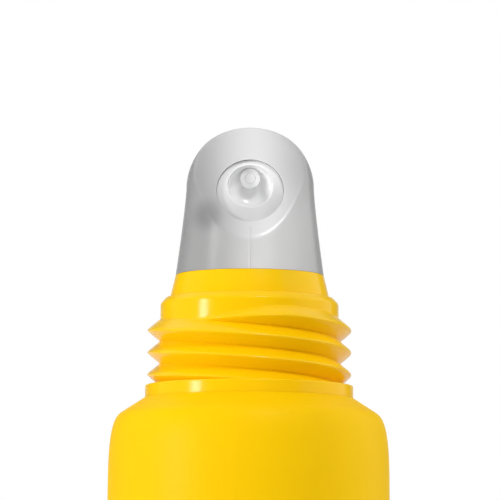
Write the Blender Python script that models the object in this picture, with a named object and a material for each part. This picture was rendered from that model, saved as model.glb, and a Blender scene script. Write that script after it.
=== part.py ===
"""A small squeeze tube of lip balm, standing on its sealed tail with the slanted tip up.

The sleeve is a plastic tube, round at the shoulder and pressed flat at the tail.
A moulded head with a screw neck is welded under its shoulder. A soft applicator tip
plugs into the head, and a small nozzle sits in the well on the tip's slanted face.
The balm fills all of them. The screw cap is off, so the neck and the tip are bare.

Lengths are in metres. The origin is at the middle of the tail's lower edge, +Z runs up
to the tip, and the slanted face looks along -Y.
"""

import math

import bmesh
import bpy
from mathutils import Matrix, Vector

MM = 0.001
QUARTER_TURN = math.pi / 2
FULL_TURN = 2 * math.pi
SHARP_ANGLE = math.radians(30)

# Facets. Each ring starts half a side round, so that flats face front, back, left and right
FIRST_CORNER_SHARE = 0.5
TUBE_SIDES = 48
THREAD_SIDES = 45
DRILL_SIDES = 32
FILL_SIDES = 24
FOLD_ROWS = 12
FOLD_ROW_POWER = 1.5
CORNER_ROWS = 6
DOME_ROWS = 14
FLANK_ROWS = 12
BOWL_CORNER_ROWS = 4
GIRTH_HALVINGS = 24

# Fits between the pieces, how far a cutter runs past what it cuts, and what a cut welds
WELD_GAP = 0.05 * MM
PLUG_CLEARANCE = 0.05 * MM
FILL_CLEARANCE = 0.1 * MM
OVERRUN = 1.0 * MM
SAME_POINT = 0.001 * MM

# Sleeve
TUBE_DIAMETER = 19.0 * MM
SLEEVE_HEIGHT = 59.0 * MM
SLEEVE_WALL = 0.45 * MM
SEAL_HEIGHT = 4.0 * MM
FOLD_EASE_SHARE = 0.15
SEAL_SQUARENESS = 6.0
SQUARENESS_POWER = 6.0
SLIT_SHARE = 0.25
SHOULDER_SLOPE = math.radians(32)
CORNER_SHARE = 0.634
CORNER_DROP = 6.0 * MM
CORNER_HANDLE_SHARE = 0.8
SIDE_HANDLE_SHARE = 0.7

# Pressed ribs on the tail's seal
RIB_PITCH = 1.0 * MM
RIB_WIDTH = 0.5 * MM
RIB_CREST_WIDTH = 0.25 * MM
RIB_PROUD = 0.12 * MM
RIB_MARGIN = 0.5 * MM
RIB_SIDE_MARGIN = 1.2 * MM

# Head
RING_DIAMETER = 14.08 * MM
RING_HEIGHT = 0.86 * MM
NECK_DIAMETER = 12.06 * MM
NECK_HEIGHT = 6.9 * MM
NECK_CHAMFER_WIDTH = 0.37 * MM
NECK_CHAMFER_HEIGHT = 0.6 * MM
COLLAR_FOOT_DIAMETER = 10.68 * MM
COLLAR_TOP_DIAMETER = 10.04 * MM
COLLAR_HEIGHT = 1.35 * MM
BORE_DIAMETER = 8.4 * MM
FLANGE_WALL = 1.0 * MM
SKIRT_WALL = 0.7 * MM
SKIRT_HEIGHT = 2.2 * MM

# Thread: two ridges that wind the way the photographed neck shows
THREAD_DIAMETER = 13.76 * MM
THREAD_LEAD = 3.0 * MM
THREAD_STARTS = 2
THREAD_HAND = -1
THREAD_ROOT_DIAMETER = 12.24 * MM
THREAD_CREST_WIDTH = 0.2 * MM
THREAD_SHOULDER_WIDTH = 0.96 * MM
THREAD_SHOULDER_SHARE = 0.72
THREAD_BURIED = 0.4 * MM
THREAD_TOP = 5.79 * MM
THREAD_START_ANGLE = math.radians(212)
THREAD_FADE_ANGLE = math.radians(120)

# Tip
DOME_DIAMETER = 8.6 * MM
FLANK_HEIGHT = 5.88 * MM
FLANK_POWER = 1.12
SLANT_ANGLE = math.radians(30.8)
SLANT_CROSSING = 3.88 * MM
SLANT_EDGE = 0.8 * MM
WELL_DIAMETER = 4.52 * MM
WELL_DROP = 0.37 * MM
WELL_SEAT = 0.3 * MM
CHANNEL_DIAMETER = 3.4 * MM
CHANNEL_TOP = 1.65 * MM
CHANNEL_FLAT_SHARE = 0.6
CHANNEL_ROUND_SHARE = 0.4
PLUG_LENGTH = 5.6 * MM
PLUG_CHAMFER = 0.3 * MM
PLUG_BORE_DIAMETER = 6.2 * MM
PLUG_BORE_TAPER = 1.2 * MM
BEAD_HEIGHT = 1.0 * MM
BEAD_PROUD = 0.14 * MM
BEAD_DROP = 3.6 * MM

# Nozzle, with its bowl and outlet raised above the well's axis
NOZZLE_RECESS = 0.25 * MM
BOWL_DIAMETER = 3.1 * MM
BOWL_RISE = 0.35 * MM
BOWL_BACK = 0.6 * MM
BOWL_CORNER = 0.5 * MM
SPOUT_DIAMETER = 1.36 * MM
SPOUT_RISE = 1.02 * MM
SPOUT_LENGTH = 0.6 * MM
ORIFICE_DIAMETER = 0.8 * MM

# Balm
FILL_LOWEST_DEPTH = 1.6 * MM

# Places worked out from the sizes above
TUBE_RADIUS = TUBE_DIAMETER / 2
RING_RADIUS = RING_DIAMETER / 2
CORNER_RADIUS = RING_RADIUS + (TUBE_RADIUS - RING_RADIUS) * CORNER_SHARE
NECK_RADIUS = NECK_DIAMETER / 2
BORE_RADIUS = BORE_DIAMETER / 2
COLLAR_TOP_RADIUS = COLLAR_TOP_DIAMETER / 2
DOME_RADIUS = DOME_DIAMETER / 2
CHANNEL_RADIUS = CHANNEL_DIAMETER / 2
WELL_RADIUS = WELL_DIAMETER / 2
RING_BOTTOM = SLEEVE_HEIGHT
NECK_TOP = RING_BOTTOM + NECK_HEIGHT
TIP_FOOT = NECK_TOP + COLLAR_HEIGHT
DOME_CENTRE = TIP_FOOT + FLANK_HEIGHT
WELL_AXIS = DOME_CENTRE - WELL_DROP
ROUND_TOP = SLEEVE_HEIGHT - CORNER_DROP
FOLD_STEEPNESS = 1 / (1 - FOLD_EASE_SHARE / 2)
THREAD_PITCH = THREAD_LEAD / THREAD_STARTS
BEAD_MIDDLE = TIP_FOOT - BEAD_DROP
CLEAR_OF_TIP = -COLLAR_TOP_RADIUS - OVERRUN
BLOCK_SIZE = 4 * COLLAR_TOP_RADIUS


def clear_scene():
    for thing in list(bpy.data.objects):
        bpy.data.objects.remove(thing, do_unlink=True)


def material(name, colour, roughness, metallic=0.0, transmission=0.0):
    """A plain Principled material in the colour and gloss of one piece."""
    made = bpy.data.materials.new(name)
    made.use_nodes = True
    shader = made.node_tree.nodes["Principled BSDF"]
    shader.inputs["Base Color"].default_value = (*colour, 1.0)
    shader.inputs["Roughness"].default_value = roughness
    shader.inputs["Metallic"].default_value = metallic
    shader.inputs["Transmission Weight"].default_value = transmission
    made.diffuse_color = (*colour, 1.0)
    return made


def place(name, mesh_builder, look=None):
    """Turns a finished bmesh into a named object in the scene."""
    mesh_builder.normal_update()
    mesh = bpy.data.meshes.new(name)
    mesh_builder.to_mesh(mesh)
    mesh_builder.free()
    mesh.shade_smooth()
    mesh.set_sharp_from_angle(angle=SHARP_ANGLE)
    thing = bpy.data.objects.new(name, mesh)
    bpy.context.scene.collection.objects.link(thing)
    if look:
        mesh.materials.append(look)
    return thing


def cutter(thing):
    """Keeps a tool out of the finished object."""
    thing.hide_render = True
    thing.display_type = "WIRE"
    return thing


def combine(target, tool, operation):
    change = target.modifiers.new(f"{operation.lower()}_{tool.name}", "BOOLEAN")
    change.operation = operation
    change.solver = "EXACT"
    change.object = cutter(tool)


def settle(thing):
    """Applies the cuts and unions, so that the sharp edges they made can be marked."""
    graph = bpy.context.evaluated_depsgraph_get()
    body = bmesh.new()
    body.from_object(thing, graph)
    bmesh.ops.remove_doubles(body, verts=body.verts[:], dist=SAME_POINT)
    bmesh.ops.dissolve_degenerate(body, edges=body.edges[:], dist=SAME_POINT)
    tools = [change.object for change in thing.modifiers]
    thing.modifiers.clear()
    body.to_mesh(thing.data)
    body.free()
    thing.data.shade_smooth()
    thing.data.set_sharp_from_angle(angle=SHARP_ANGLE)
    for tool in tools:
        bpy.data.objects.remove(tool, do_unlink=True)
    return thing


def skin(name, rings, look=None, looped=False, builder=None):
    """A closed body through rings of points. A ring of one point is a pole.

    looped joins the last ring to the first; otherwise open ends are capped.
    """
    body = builder or bmesh.new()
    rows = [[body.verts.new(point) for point in ring] for ring in rings]
    pairs = list(zip(rows, rows[1:]))
    if looped:
        pairs.append((rows[-1], rows[0]))
    for low, high in pairs:
        count = max(len(low), len(high))
        for side in range(count):
            after = (side + 1) % count
            corners = [low[side % len(low)], low[after % len(low)]]
            corners += [high[after % len(high)], high[side % len(high)]]
            body.faces.new(list(dict.fromkeys(corners)))
    if not looped:
        for end in (rows[0], rows[-1]):
            if len(end) > 2:
                body.faces.new(end)
    if builder:
        return None
    bmesh.ops.recalc_face_normals(body, faces=body.faces[:])
    return place(name, body, look)


def turns(sides):
    """The corners' angles round a ring."""
    return [FULL_TURN * (side + FIRST_CORNER_SHARE) / sides for side in range(sides)]


def circle(radius, height, sides=TUBE_SIDES):
    """A level ring of points, or a single point where the radius is zero."""
    if radius <= 0:
        return [Vector((0, 0, height))]
    spots = [(radius * math.cos(turn), radius * math.sin(turn)) for turn in turns(sides)]
    return [Vector((x, y, height)) for x, y in spots]


def turned(name, outline, look=None, looped=False, sides=TUBE_SIDES):
    """A turned body from its outline of (radius, height) points."""
    rings = [circle(radius, height, sides) for radius, height in outline]
    return skin(name, rings, look, looped)


def drill(name, radius, start, end, height, corner=0):
    """A bar along Y from start to end, its far end rounded by the corner radius."""
    outline = [(0, start), (radius, start)]
    if corner:
        rows = range(BOWL_CORNER_ROWS + 1)
        steps = [QUARTER_TURN * row / BOWL_CORNER_ROWS for row in rows]
        middle = end - corner
        outline += [
            (radius - corner + corner * math.cos(t), middle + corner * math.sin(t))
            for t in steps
        ]
    else:
        outline.append((radius, end))
    outline.append((0, end))
    rings = [circle(r, along, DRILL_SIDES) for r, along in outline]
    lay_down = Matrix.Rotation(-QUARTER_TURN, 4, "X")
    lift = Matrix.Translation((0, 0, height))
    rings = [[lift @ lay_down @ point for point in ring] for ring in rings]
    return skin(name, rings)


def oval(half_width, half_depth, power, height, sides=TUBE_SIDES):
    """A level section between an ellipse (power 2) and a rounded rectangle."""
    points = []
    for turn in turns(sides):
        across, along = math.cos(turn), math.sin(turn)
        x = half_width * math.copysign(abs(across) ** (2 / power), across)
        y = half_depth * math.copysign(abs(along) ** (2 / power), along)
        points.append(Vector((x, y, height)))
    return points


def girth(points):
    return sum((a - b).length for a, b in zip(points, points[1:] + points[:1]))


def half_width_at(half_depth, power):
    """The half width that gives a section the same girth as the round tube."""
    wanted = girth(circle(TUBE_RADIUS, 0))
    low, high = 0, wanted / 2
    for _ in range(GIRTH_HALVINGS):
        middle = (low + high) / 2
        if girth(oval(middle, half_depth, power, 0)) < wanted:
            low = middle
        else:
            high = middle
    return low


def folded(share):
    """How far the sleeve is pressed flat: a gentle start, and then a straight wedge."""
    if share < FOLD_EASE_SHARE:
        return FOLD_STEEPNESS * share**2 / (2 * FOLD_EASE_SHARE)
    return FOLD_STEEPNESS * (share - FOLD_EASE_SHARE / 2)


def sleeve_section(share, inset, sides=TUBE_SIDES):
    """A section of the sleeve, from share 0 at the round top to share 1 at the seal."""
    height = ROUND_TOP + (SEAL_HEIGHT - ROUND_TOP) * share
    half_depth = TUBE_RADIUS - (TUBE_RADIUS - SLEEVE_WALL) * folded(share)
    power = 2 + (SEAL_SQUARENESS - 2) * share**SQUARENESS_POWER
    half_width = half_width_at(half_depth, power)
    return oval(half_width - inset, max(half_depth - inset, 0), power, height, sides)


def fold_shares(last):
    """Rows along the fold, closest at the round top, down to the given share."""
    return [last * (row / FOLD_ROWS) ** FOLD_ROW_POWER for row in range(FOLD_ROWS + 1)]


def share_at_depth(half_depth):
    """Where on the straight wedge the sleeve is this deep, from its middle to its outside."""
    pressed = (TUBE_RADIUS - half_depth) / (TUBE_RADIUS - SLEEVE_WALL)
    return pressed / FOLD_STEEPNESS + FOLD_EASE_SHARE / 2


def shoulder_outline(inset):
    """The shoulder from the round top up to the ring, pushed inwards by the inset."""
    slope = Vector((math.cos(SHOULDER_SLOPE), -math.sin(SHOULDER_SLOPE)))
    drop = (CORNER_RADIUS - RING_RADIUS) * math.tan(SHOULDER_SLOPE)
    ends = Vector((TUBE_RADIUS, ROUND_TOP)), Vector((CORNER_RADIUS, RING_BOTTOM - drop))
    side_handle = Vector((0, SIDE_HANDLE_SHARE * (ends[1].y - ends[0].y)))
    top_handle = slope * CORNER_HANDLE_SHARE * (TUBE_RADIUS - CORNER_RADIUS)
    controls = ends[0], ends[0] + side_handle, ends[1] + top_handle, ends[1]
    outline = []
    for row in range(CORNER_ROWS + 1):
        t = row / CORNER_ROWS
        weights = (1 - t) ** 3, 3 * t * (1 - t) ** 2, 3 * t**2 * (1 - t), t**3
        spot = sum((w * c for w, c in zip(weights, controls)), Vector((0, 0)))
        steps = [b - a for a, b in zip(controls, controls[1:])]
        weights = (1 - t) ** 2, 2 * t * (1 - t), t**2
        along = sum((w * s for w, s in zip(weights, steps)), Vector((0, 0)))
        inward = Vector((-along.y, along.x)).normalized()
        outline.append(tuple(spot + inward * inset))
    return outline


def slope_height(radius, inset):
    """Height of the straight shoulder at a radius, under the inset."""
    rise = (RING_RADIUS - radius) * math.tan(SHOULDER_SLOPE)
    return RING_BOTTOM + rise - inset / math.cos(SHOULDER_SLOPE)


def seal_ribs():
    """Upright ribs that the sealing jaws press into both faces of the tail."""
    ribs = bmesh.new()
    half_seal = half_width_at(SLEEVE_WALL, SEAL_SQUARENESS) - RIB_SIDE_MARGIN
    count = 2 * int(half_seal / RIB_PITCH) + 1
    low, high = RIB_MARGIN, SEAL_HEIGHT - RIB_MARGIN
    for face in (-1, 1):
        for rib in range(count):
            middle = (rib - (count - 1) / 2) * RIB_PITCH
            rings = []
            for depth, width, shrink in (
                (SLEEVE_WALL / 2, RIB_WIDTH, 0),
                (SLEEVE_WALL + RIB_PROUD, RIB_CREST_WIDTH, RIB_PROUD),
            ):
                left, right = middle - width / 2, middle + width / 2
                corners = (left, low + shrink), (right, low + shrink)
                corners += (right, high - shrink), (left, high - shrink)
                rings.append([Vector((x, face * depth, z)) for x, z in corners])
            skin("rib", rings, builder=ribs)
    bmesh.ops.recalc_face_normals(ribs, faces=ribs.faces[:])
    return place("seal_ribs", ribs)


def make_sleeve(look):
    """The tube itself: seal, flattened body and shoulder skin, with one even wall."""
    outside = [sleeve_section(share, 0) for share in reversed(fold_shares(1))]
    tail = [Vector((point.x, point.y, 0)) for point in outside[0]]
    shoulder = shoulder_outline(0)[1:] + [(RING_RADIUS + WELD_GAP, RING_BOTTOM)]
    under = [(RING_RADIUS + WELD_GAP, slope_height(RING_RADIUS + WELD_GAP, SLEEVE_WALL))]
    under += list(reversed(shoulder_outline(SLEEVE_WALL)[1:]))
    # The hollow ends in a thin slit just above the seal.
    slit = share_at_depth(SLEEVE_WALL * (1 + SLIT_SHARE))
    inside = [sleeve_section(share, SLEEVE_WALL) for share in fold_shares(slit)]
    rings = [tail] + outside
    rings += [circle(radius, height) for radius, height in shoulder + under]
    sleeve = skin("tube_sleeve", rings + inside, look)
    combine(sleeve, seal_ribs(), "UNION")
    return settle(sleeve)


def thread_ridge(start_angle):
    """Sections along one ridge, from its fade under the neck's top down into the ring."""
    crest_full = THREAD_DIAMETER / 2
    foot = NECK_RADIUS - THREAD_BURIED
    half_crest, half_shoulder = THREAD_CREST_WIDTH / 2, THREAD_SHOULDER_WIDTH / 2
    # The flanks of neighbouring ridges meet in the valley, half a pitch from each crest.
    valley = THREAD_ROOT_DIAMETER / 2
    shoulder_full = foot + (crest_full - foot) * THREAD_SHOULDER_SHARE
    flank_run = (THREAD_PITCH / 2 - half_shoulder) / (shoulder_full - valley)
    bottom = RING_HEIGHT - THREAD_PITCH / 2
    steps = math.ceil((THREAD_TOP - bottom) / THREAD_LEAD * THREAD_SIDES)
    rings = []
    for step in range(steps + 1):
        turned_by = FULL_TURN * step / THREAD_SIDES
        angle = start_angle - THREAD_HAND * turned_by
        middle = RING_BOTTOM + THREAD_TOP - THREAD_LEAD * turned_by / FULL_TURN
        grown = min(turned_by / THREAD_FADE_ANGLE, 1)
        crest = foot + THREAD_BURIED / 2 + (crest_full - foot - THREAD_BURIED / 2) * grown
        shoulder = foot + (crest - foot) * THREAD_SHOULDER_SHARE
        half_foot = half_shoulder + (shoulder - foot) * flank_run
        profile = ((foot, half_foot), (shoulder, half_shoulder), (crest, half_crest))
        profile += tuple((radius, -up) for radius, up in reversed(profile))
        # Inside the ring the ridge stops short of the shoulder's underside.
        ring = [(radius, max(middle + up, RING_BOTTOM)) for radius, up in profile]
        rings.append([Vector((r * math.cos(angle), r * math.sin(angle), z)) for r, z in ring])
    return rings


def make_head(look):
    """Shoulder flange, ring, screw neck and collar in one moulding, bored right through."""
    under_skin = SLEEVE_WALL + WELD_GAP
    flange_inset = under_skin + FLANGE_WALL
    skirt_radius = TUBE_RADIUS - under_skin
    skirt_foot = RING_BOTTOM - (CORNER_RADIUS - RING_RADIUS) * math.tan(SHOULDER_SLOPE)
    skirt_foot -= under_skin + SKIRT_HEIGHT
    outer = [spot for spot in shoulder_outline(under_skin) if spot[1] > skirt_foot]
    outer = [(skirt_radius_at(skirt_foot, under_skin), skirt_foot)] + outer
    outer.append((RING_RADIUS, slope_height(RING_RADIUS, under_skin)))
    outer.append((RING_RADIUS, RING_BOTTOM + RING_HEIGHT))
    outer.append((NECK_RADIUS, RING_BOTTOM + RING_HEIGHT))
    outer.append((NECK_RADIUS, NECK_TOP - NECK_CHAMFER_HEIGHT))
    outer.append((NECK_RADIUS - NECK_CHAMFER_WIDTH, NECK_TOP))
    outer.append((COLLAR_FOOT_DIAMETER / 2, NECK_TOP))
    outer.append((COLLAR_TOP_RADIUS, TIP_FOOT))
    groove = BORE_RADIUS + BEAD_PROUD + PLUG_CLEARANCE
    half_bead = BEAD_HEIGHT / 2 + PLUG_CLEARANCE
    inner = [(BORE_RADIUS, TIP_FOOT), (BORE_RADIUS, BEAD_MIDDLE + half_bead)]
    inner += [(groove, BEAD_MIDDLE), (BORE_RADIUS, BEAD_MIDDLE - half_bead)]
    inner.append((BORE_RADIUS, slope_height(BORE_RADIUS, flange_inset)))
    inner.append(shoulder_outline(flange_inset)[-1])
    inner.append((skirt_radius - SKIRT_WALL, skirt_foot))
    head = turned("tube_head", outer + inner, look, looped=True)
    for start in range(THREAD_STARTS):
        angle = THREAD_START_ANGLE + FULL_TURN * start / THREAD_STARTS
        combine(head, skin(f"thread_ridge_{start + 1}", thread_ridge(angle)), "UNION")
    return settle(head)


def skirt_radius_at(height, inset):
    """Radius of the inset shoulder outline at a height, between its rows."""
    outline = shoulder_outline(inset)
    for (low_r, low_z), (high_r, high_z) in zip(outline, outline[1:]):
        if low_z <= height <= high_z:
            return low_r + (high_r - low_r) * (height - low_z) / (high_z - low_z)
    return outline[0][0]


def slant_distance(origin, direction):
    """How far along a ray from the tip's axis the slanted face lies."""
    normal = Vector((0, -math.cos(SLANT_ANGLE), math.sin(SLANT_ANGLE)))
    crossing = Vector((0, 0, DOME_CENTRE + SLANT_CROSSING))
    towards = normal.dot(direction)
    if towards <= 0:
        return math.inf
    return normal.dot(crossing - origin) / towards


def rounded_least(a, b, rounding):
    """The smaller of two lengths, eased where they are nearly equal."""
    near = max(rounding - abs(a - b), 0) / rounding
    return min(a, b) - near**2 * rounding / 4


def tip_ring(height, elevation, radius, sides=TUBE_SIDES):
    """One ring of the tip's outside, cut back where the slanted face lies nearer."""
    origin = Vector((0, 0, height))
    ring = []
    for turn in turns(sides):
        level = math.cos(elevation)
        direction = Vector((level * math.cos(turn), level * math.sin(turn), math.sin(elevation)))
        reach = slant_distance(origin, direction)
        ring.append(origin + direction * rounded_least(radius, reach, SLANT_EDGE))
    return ring


def tip_outside():
    """Rings up the flared flank and over the dome, to the pole at the top."""
    rings = []
    for row in range(FLANK_ROWS):
        share = row / FLANK_ROWS
        flare = (1 - share) ** FLANK_POWER
        radius = DOME_RADIUS + (COLLAR_TOP_RADIUS - DOME_RADIUS) * flare
        rings.append(tip_ring(TIP_FOOT + FLANK_HEIGHT * share, 0, radius))
    for row in range(DOME_ROWS):
        rings.append(tip_ring(DOME_CENTRE, QUARTER_TURN * row / DOME_ROWS, DOME_RADIUS))
    top = slant_distance(Vector((0, 0, DOME_CENTRE)), Vector((0, 0, 1)))
    rings.append([Vector((0, 0, DOME_CENTRE + rounded_least(DOME_RADIUS, top, SLANT_EDGE)))])
    return rings


def channel_outline(inset):
    """The tip's inside from its closed top down to the plug's mouth."""
    radius = CHANNEL_RADIUS - inset
    top = WELL_AXIS + CHANNEL_TOP - inset
    wide = PLUG_BORE_DIAMETER / 2 - inset
    outline = [(0, top), (radius * CHANNEL_FLAT_SHARE, top)]
    outline.append((radius, top - radius * CHANNEL_ROUND_SHARE))
    outline.append((radius, TIP_FOOT + PLUG_BORE_TAPER))
    outline.append((wide, TIP_FOOT))
    return outline


def make_tip(look):
    """The soft applicator tip: plug and snap bead below, slanted dome above, hollow inside."""
    plug = BORE_RADIUS - PLUG_CLEARANCE
    plug_foot = TIP_FOOT - PLUG_LENGTH
    outline = channel_outline(0)
    outline.append((PLUG_BORE_DIAMETER / 2, plug_foot))
    outline.append((plug - PLUG_CHAMFER, plug_foot))
    outline.append((plug, plug_foot + PLUG_CHAMFER))
    outline.append((plug, BEAD_MIDDLE - BEAD_HEIGHT / 2))
    outline.append((plug + BEAD_PROUD, BEAD_MIDDLE))
    outline.append((plug, BEAD_MIDDLE + BEAD_HEIGHT / 2))
    outline.append((plug, TIP_FOOT))
    rings = [circle(radius, height) for radius, height in outline]
    tip = skin("applicator_tip", rings + tip_outside(), look)
    well = drill("well_cutter", WELL_RADIUS, CLEAR_OF_TIP, WELL_SEAT, WELL_AXIS)
    combine(tip, well, "DIFFERENCE")
    return settle(tip)


def slanted_block(name, back):
    """A block that fills all in front of the slanted face, its back moved in by back."""
    block = bmesh.new()
    bmesh.ops.create_cube(block, size=BLOCK_SIZE)
    normal = Vector((0, -math.cos(SLANT_ANGLE), math.sin(SLANT_ANGLE)))
    turn = Vector((0, -1, 0)).rotation_difference(normal).to_matrix().to_4x4()
    crossing = Vector((0, 0, DOME_CENTRE + SLANT_CROSSING))
    middle = normal * (normal.dot(crossing) - back + BLOCK_SIZE / 2)
    across = crossing - normal * normal.dot(crossing)
    bmesh.ops.transform(block, matrix=Matrix.Translation(middle + across) @ turn, verts=block.verts)
    return place(name, block)


def make_nozzle(look):
    """The nozzle in the well: slanted rim, bowl, and a short spout with its outlet."""
    radius = WELL_RADIUS - PLUG_CLEARANCE
    nozzle = drill("nozzle_insert", radius, CLEAR_OF_TIP, WELL_SEAT, WELL_AXIS)
    nozzle.data.materials.append(look)
    combine(nozzle, slanted_block("rim_cutter", NOZZLE_RECESS), "DIFFERENCE")
    floor = WELL_SEAT - BOWL_BACK
    bowl_axis = WELL_AXIS + BOWL_RISE
    bowl = drill("bowl_cutter", BOWL_DIAMETER / 2, CLEAR_OF_TIP, floor, bowl_axis, BOWL_CORNER)
    combine(nozzle, bowl, "DIFFERENCE")
    spout_axis = WELL_AXIS + SPOUT_RISE
    spout_end = floor - SPOUT_LENGTH
    spout = drill("spout", SPOUT_DIAMETER / 2, spout_end, floor + BOWL_BACK / 2, spout_axis)
    combine(nozzle, spout, "UNION")
    start, end = spout_end - OVERRUN, WELL_SEAT + OVERRUN
    orifice = drill("orifice_drill", ORIFICE_DIAMETER / 2, start, end, spout_axis)
    combine(nozzle, orifice, "DIFFERENCE")
    return settle(nozzle)


def make_balm(look):
    """The balm, from the bottom of the sleeve to the mouth of the nozzle."""
    skirt_inside = TUBE_RADIUS - SLEEVE_WALL - WELD_GAP - SKIRT_WALL - FILL_CLEARANCE
    under_skin = SLEEVE_WALL + WELD_GAP + FLANGE_WALL + FILL_CLEARANCE
    inset = SLEEVE_WALL + FILL_CLEARANCE
    last = share_at_depth(FILL_LOWEST_DEPTH / 2 + inset)
    shares = reversed(fold_shares(last))
    rings = [sleeve_section(share, inset, FILL_SIDES) for share in shares]
    corner_radius, corner_height = shoulder_outline(under_skin)[-1]
    bore = BORE_RADIUS - FILL_CLEARANCE
    column = [(min(skirt_inside, corner_radius), ROUND_TOP), (corner_radius, corner_height)]
    column.append((bore, slope_height(bore, under_skin)))
    plug_bore = PLUG_BORE_DIAMETER / 2 - FILL_CLEARANCE
    plug_foot = TIP_FOOT - PLUG_LENGTH - FILL_CLEARANCE
    column += [(bore, plug_foot), (plug_bore, plug_foot)]
    column += list(reversed(channel_outline(FILL_CLEARANCE)))
    rings += [circle(radius, height, FILL_SIDES) for radius, height in column]
    balm = skin("balm_fill", rings, look)
    back = WELL_SEAT + FILL_CLEARANCE
    blank = drill("nozzle_space", WELL_RADIUS + FILL_CLEARANCE, CLEAR_OF_TIP, back, WELL_AXIS)
    combine(balm, blank, "DIFFERENCE")
    spout_axis = WELL_AXIS + SPOUT_RISE
    mouth = WELL_SEAT - BOWL_BACK - SPOUT_LENGTH
    bead_radius = ORIFICE_DIAMETER / 2 - WELD_GAP
    bead = drill("outlet_balm", bead_radius, mouth, back + OVERRUN / 2, spout_axis)
    combine(balm, bead, "UNION")
    return settle(balm)


def main():
    clear_scene()
    yellow = (0.99, 0.62, 0.0)
    make_sleeve(material("yellow_sleeve", yellow, 0.35))
    make_head(material("yellow_moulding", yellow, 0.28))
    make_tip(material("frosted_tip", (0.72, 0.72, 0.72), 0.35, transmission=0.3))
    make_nozzle(material("clear_nozzle", (0.8, 0.8, 0.8), 0.15, transmission=0.4))
    make_balm(material("balm", (0.86, 0.84, 0.8), 0.5))


main()
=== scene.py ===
# %% [markdown]
# # A small squeeze tube with a slanted soft tip
#
# The packed model gives five plain solids: sleeve, head, tip, nozzle and balm.
# This lesson dresses them. Each outer piece is built again with many more facets,
# so that edges and highlights run smoothly, and every surface gets a finish made
# from shader nodes. The main sizes follow the solids to within 0.2 mm.

# %% Load the packed model
import math

import bmesh
import bpy
from mathutils import Matrix, Quaternion, Vector


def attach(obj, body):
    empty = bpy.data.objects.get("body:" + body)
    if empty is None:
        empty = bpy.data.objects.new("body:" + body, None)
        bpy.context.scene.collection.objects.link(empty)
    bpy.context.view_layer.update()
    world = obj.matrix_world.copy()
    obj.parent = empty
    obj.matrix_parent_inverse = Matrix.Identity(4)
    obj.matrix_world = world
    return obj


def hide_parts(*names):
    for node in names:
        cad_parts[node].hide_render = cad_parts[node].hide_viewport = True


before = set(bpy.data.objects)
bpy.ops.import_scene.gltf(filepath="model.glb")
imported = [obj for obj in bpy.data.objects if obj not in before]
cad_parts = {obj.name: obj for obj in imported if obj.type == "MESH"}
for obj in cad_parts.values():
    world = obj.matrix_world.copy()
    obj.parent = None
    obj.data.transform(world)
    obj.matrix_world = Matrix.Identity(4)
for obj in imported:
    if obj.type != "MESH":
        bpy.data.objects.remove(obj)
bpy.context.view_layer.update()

MM = 0.001
QUARTER_TURN = math.pi / 2
FULL_TURN = 2 * math.pi
collection = bpy.context.scene.collection
print("solids:", sorted(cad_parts))

# %% [markdown]
# ## Camera
#
# A lens of long focal length stands a little below the neck and looks up by six
# degrees, which turns the rings of the neck into shallow arches. The distance and
# the width of the view at the tube's axis set the lens, so that either can be changed
# alone. A very small roll leans the tube to the right.

# %% Camera
VIEW_TILT = math.radians(-6)
VIEW_ROLL = math.radians(0.30)
VIEW_DISTANCE = 290 * MM
VIEW_WIDTH = 33.9 * MM
VIEW_CENTRE = Vector((0.01 * MM, 0, 69.0 * MM))

backwards = Vector((0, -math.cos(VIEW_TILT), math.sin(VIEW_TILT)))
lens = bpy.data.cameras.new("camera")
lens.lens = lens.sensor_width * VIEW_DISTANCE / VIEW_WIDTH
lens.clip_start = VIEW_DISTANCE / 10
lens.clip_end = 100 * VIEW_DISTANCE
camera = bpy.data.objects.new("camera", lens)
collection.objects.link(camera)
camera.location = VIEW_CENTRE + VIEW_DISTANCE * backwards
camera.rotation_mode = "QUATERNION"
aim = (-backwards).to_track_quat("-Z", "Y")
camera.rotation_quaternion = aim @ Quaternion((0, 0, 1), VIEW_ROLL)
bpy.context.scene.camera = camera
bpy.context.scene.view_settings.view_transform = "Standard"
print("focal length in mm:", round(lens.lens, 1))

# %% [markdown]
# ## Maths in node trees
#
# Shader and geometry trees share their Math node. A small class wraps a socket and
# overloads Python's operators, so that a formula reads as it would on paper. A second
# class wraps the tree, and one method of it adds every other kind of node: settings
# first, then values or links.

# %% Values
class Value:
    """A socket of a node tree, on which Python's operators add Math nodes."""

    def __init__(self, tree, socket):
        self.tree, self.socket = tree, socket

    def math(self, operation, *others):
        return self.tree.add("ShaderNodeMath", {"operation": operation}, [self, *others])

    def __add__(self, other):
        return self.math("ADD", other)

    def __sub__(self, other):
        return self.math("SUBTRACT", other)

    def __mul__(self, other):
        return self.math("MULTIPLY", other)

    def __truediv__(self, other):
        return self.math("DIVIDE", other)

    def __pow__(self, other):
        return self.math("POWER", other)

    def __radd__(self, other):
        return self.tree.value(other) + self

    def __rsub__(self, other):
        return self.tree.value(other) - self

    def __rmul__(self, other):
        return self.tree.value(other) * self

    def __abs__(self):
        return self.math("ABSOLUTE")

    def between(self, low, high):
        """0 below low, 1 above high, and a smooth rise from one to the other."""
        settings = {"interpolation_type": "SMOOTHSTEP"}
        ends = {"Value": self, "From Min": low, "From Max": high}
        return self.tree.add("ShaderNodeMapRange", settings, ends)


print("operators ready:", [name for name in vars(Value) if name.startswith("__r")])

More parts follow.
